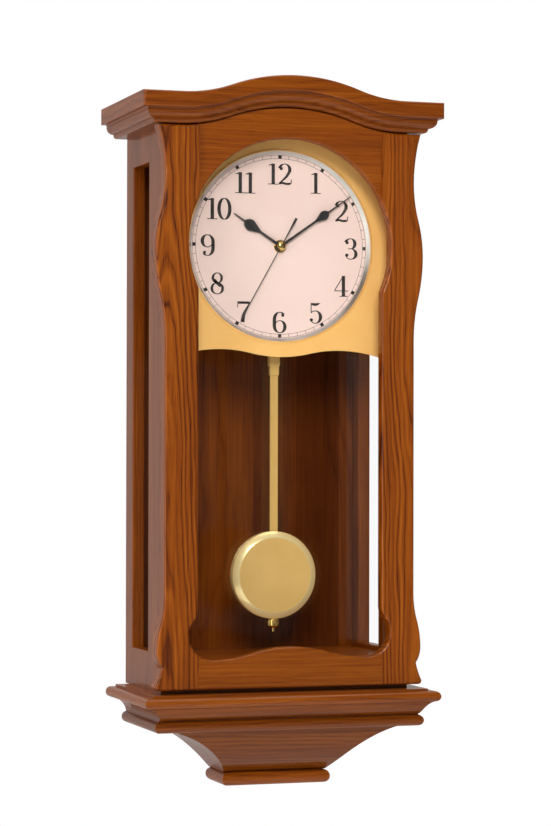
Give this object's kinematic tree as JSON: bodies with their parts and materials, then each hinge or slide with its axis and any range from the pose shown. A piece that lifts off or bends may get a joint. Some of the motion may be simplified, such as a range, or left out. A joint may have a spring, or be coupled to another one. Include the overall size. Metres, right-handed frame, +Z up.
{
  "type": "wall clock",
  "caption": "Pendulum wall clock: stained oak case with arched cornice, glazed hinged door, brass dial plate, round numbered dial and a swinging round bob.",
  "frame": {"origin": "centre of the keyhole's entry hole in the hanger plate, on the wall plane", "axes": "+Y into the wall, +Z up, +X to the viewer's right"},
  "size_m": [0.3024, 0.161, 0.682],
  "materials": {
    "oak_case": "satin lacquer over stained oak",
    "oak_door": "satin lacquer over stained oak",
    "oak_cornice": "satin lacquer over stained oak",
    "oak_plinth": "satin lacquer over stained oak",
    "plain_wood": "plain",
    "steel": "bright",
    "hinge_brass": "satin",
    "brown_plastic": "matte",
    "clear_glass": "polished",
    "gold_plate": "fine brushed, lacquered",
    "silver_ring": "satin",
    "dial_print": "matte",
    "black_hand": "satin black",
    "brass_turned": "polished",
    "brass_pendulum": "satin, lacquered",
    "black_plastic": "matte",
    "white_plastic": "plain",
    "green_board": "solder mask",
    "copper": "enamelled wire",
    "battery_can": "printed can"
  },
  "bodies": {
    "case": {"back_panel": "oak_case", "battery": "battery_can", "battery_contacts": "steel", "circuit_board": "green_board", "console": "oak_plinth", "cornice_moulding_front": "oak_cornice", "cornice_returns": "oak_cornice", "cornice_slab": "oak_cornice", "crown_rail": "oak_case", "dial_battens": "plain_wood", "dial_disc": "dial_print", "dial_plate": "gold_plate", "dial_ring": "silver_ring", "dial_screws": "steel", "drive_box": "black_plastic", "drive_coil": "copper", "floor_board": "oak_case", "foot_board": "oak_plinth", "hanger_block": "plain_wood", "hanger_plate": "steel", "hanger_screws": "steel", "hinge_leaves_case": "hinge_brass", "hinge_pins": "steel", "magnet_catch": "brown_plastic", "motor_coils": "copper", "movement_bush": "brass_turned", "movement_front": "black_plastic", "movement_nut": "brass_turned", "movement_rear": "black_plastic", "pivot_pin": "steel", "plinth_board": "oak_plinth", "plinth_moulding": "oak_plinth", "side_panel_left": "oak_case", "side_panel_right": "oak_case", "top_board": "oak_case"},
    "door": {"stile_left": "oak_door", "stile_right": "oak_door", "door_header": "oak_door", "door_rail": "oak_door", "door_glass": "clear_glass", "glass_beads": "oak_door", "strike_plate": "steel", "hinge_leaves_door": "hinge_brass"},
    "pendulum": {"pendulum_hanger": "brass_pendulum", "drive_magnet": "steel", "pendulum_rod": "brass_pendulum", "rating_screw": "brass_turned"},
    "bob": {"bob_shell": "brass_pendulum", "bob_back": "brass_pendulum"},
    "nut": {"rating_nut": "brass_turned"},
    "minute": {"minute_hand": "black_hand", "minute_cannon": "brass_turned"},
    "hour": {"hour_hand": "black_hand", "hour_wheel": "white_plastic"},
    "second": {"second_hand": "black_hand", "hand_cap": "brass_turned", "seconds_wheel": "white_plastic"},
    "motion": {"motion_wheel": "white_plastic"},
    "set_button": {"set_button": "white_plastic"},
    "reset_button": {"reset_button": "white_plastic"}
  },
  "joints": [
    {"name": "door_swing", "type": "hinge", "parent": "case", "child": "door", "pos_m": [0.1282, -0.12925, -0.2], "axis": [0, 0, 1], "range_deg": [0, 105]},
    {"name": "pendulum_swing", "type": "hinge", "parent": "case", "child": "pendulum", "pos_m": [0, -0.0905, -0.119], "axis": [0, 1, 0], "range_deg": [-6, 6]},
    {"name": "bob_slide", "type": "slide", "parent": "pendulum", "child": "bob", "axis": [0, 0, 1], "range_m": [-0.0021, 0.0021]},
    {"name": "nut_turn", "type": "hinge", "parent": "bob", "child": "nut", "pos_m": [0, -0.0905, -0.443], "axis": [0, 0, 1], "range_deg": [-1090, 1090]},
    {"name": "minute_turn", "type": "hinge", "parent": "case", "child": "minute", "pos_m": [0, -0.112, -0.0763], "axis": [0, 1, 0], "continuous": true},
    {"name": "hour_turn", "type": "hinge", "parent": "case", "child": "hour", "pos_m": [0, -0.112, -0.0763], "axis": [0, 1, 0], "continuous": true},
    {"name": "motion_turn", "type": "hinge", "parent": "case", "child": "motion", "pos_m": [0, -0.107, -0.0883], "axis": [0, 1, 0], "continuous": true},
    {"name": "second_turn", "type": "hinge", "parent": "case", "child": "second", "pos_m": [0, -0.112, -0.0763], "axis": [0, 1, 0], "continuous": true},
    {"name": "set_press", "type": "slide", "parent": "case", "child": "set_button", "axis": [0, -1, 0], "range_m": [0, 0.0008], "stiffness_N_per_m": 300},
    {"name": "reset_press", "type": "slide", "parent": "case", "child": "reset_button", "axis": [0, -1, 0], "range_m": [0, 0.0008], "stiffness_N_per_m": 300}
  ],
  "couplings": [
    {"joint": "nut_turn", "follows": "bob_slide", "rad_per_m": 8976},
    {"joint": "hour_turn", "follows": "minute_turn", "ratio": 0.083333},
    {"joint": "motion_turn", "follows": "minute_turn", "ratio": -0.33333}
  ]
}
